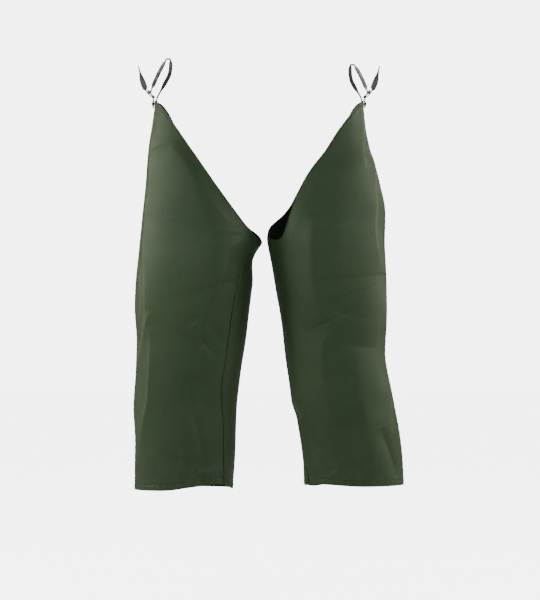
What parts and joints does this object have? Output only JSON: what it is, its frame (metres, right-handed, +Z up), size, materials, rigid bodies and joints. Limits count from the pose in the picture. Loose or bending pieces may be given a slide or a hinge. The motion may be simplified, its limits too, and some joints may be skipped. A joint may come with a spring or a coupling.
{
  "type": "chainsaw chaps",
  "caption": "Pair of separate padded leg guards for chainsaw work, each hung from the wearer's belt by a looped leather strap with a small roller buckle.",
  "frame": {"origin": "midway between the two strap loops, level with the upper edge of the belt they hang on, in the belt line's own plane", "axes": "+Z up along the legs; the wearer faces -Y and has their left hand at +X"},
  "size_m": [0.5707, 0.2024, 0.9081],
  "materials": {
    "shell": "tight plain-weave nylon with a satin olive coating",
    "facing": "uncoated back of the olive shell cloth",
    "lining": "matte plain-weave lining",
    "woven_ply": "loose cut-resistant weave",
    "felt_ply": "cut-resistant felt",
    "strap": "smooth dark leather, satin",
    "buckle": "nickel-plated wire, worn",
    "rivet": "blackened brass"
  },
  "bodies": {
    "belt_straps": {"right_belt_strap": "strap", "right_buckle_tab": "shell", "right_hip_rivet": "rivet", "right_rivet_burr": "rivet", "left_belt_strap": "strap", "left_buckle_tab": "shell", "left_hip_rivet": "rivet", "left_rivet_burr": "rivet"},
    "right_leg": {"right_front_panel": "shell", "right_back_panel": "shell", "right_front_lining": "lining", "right_pad_woven_plies": "woven_ply", "right_pad_felt_plies": "felt_ply", "right_inseam_tape": "facing", "right_outseam_tape": "facing", "right_hem_facing": "facing", "right_top_facing": "facing", "right_hip_patch": "facing"},
    "right_buckle": {"right_buckle_frame": "buckle"},
    "right_prong": {"right_buckle_prong": "buckle"},
    "right_roller": {"right_buckle_roller": "buckle"},
    "left_leg": {"left_front_panel": "shell", "left_back_panel": "shell", "left_front_lining": "lining", "left_pad_woven_plies": "woven_ply", "left_pad_felt_plies": "felt_ply", "left_inseam_tape": "facing", "left_outseam_tape": "facing", "left_hem_facing": "facing", "left_top_facing": "facing", "left_hip_patch": "facing"},
    "left_buckle": {"left_buckle_frame": "buckle"},
    "left_prong": {"left_buckle_prong": "buckle"},
    "left_roller": {"left_buckle_roller": "buckle"}
  },
  "joints": [
    {"name": "right_leg_swing", "type": "hinge", "parent": "belt_straps", "child": "right_leg", "pos_m": [-0.2279, 0, -0.084], "axis": [-1, 0, 0], "range_deg": [-25, 60]},
    {"name": "right_buckle_tilt", "type": "hinge", "parent": "belt_straps", "child": "right_buckle", "pos_m": [-0.23034, 0, -0.069], "axis": [0, -1, 0], "range_deg": [-10, 20], "deforming": ["right_belt_strap"]},
    {"name": "right_prong_lift", "type": "hinge", "parent": "right_buckle", "child": "right_prong", "pos_m": [-0.23034, 0, -0.069], "axis": [0, -1, 0], "range_deg": [0, 55]},
    {"name": "right_roller_spin", "type": "hinge", "parent": "right_buckle", "child": "right_roller", "pos_m": [-0.23991, 0, -0.05759], "axis": [0, -1, 0], "continuous": true},
    {"name": "left_leg_swing", "type": "hinge", "parent": "belt_straps", "child": "left_leg", "pos_m": [0.2115, 0, -0.084], "axis": [-1, 0, 0], "range_deg": [-25, 60]},
    {"name": "left_buckle_tilt", "type": "hinge", "parent": "belt_straps", "child": "left_buckle", "pos_m": [0.21375, 0, -0.069], "axis": [0, 1, 0], "range_deg": [-10, 20], "deforming": ["left_belt_strap"]},
    {"name": "left_prong_lift", "type": "hinge", "parent": "left_buckle", "child": "left_prong", "pos_m": [0.21375, 0, -0.069], "axis": [0, 1, 0], "range_deg": [0, 55]},
    {"name": "left_roller_spin", "type": "hinge", "parent": "left_buckle", "child": "left_roller", "pos_m": [0.22333, 0, -0.05759], "axis": [0, 1, 0], "continuous": true}
  ]
}
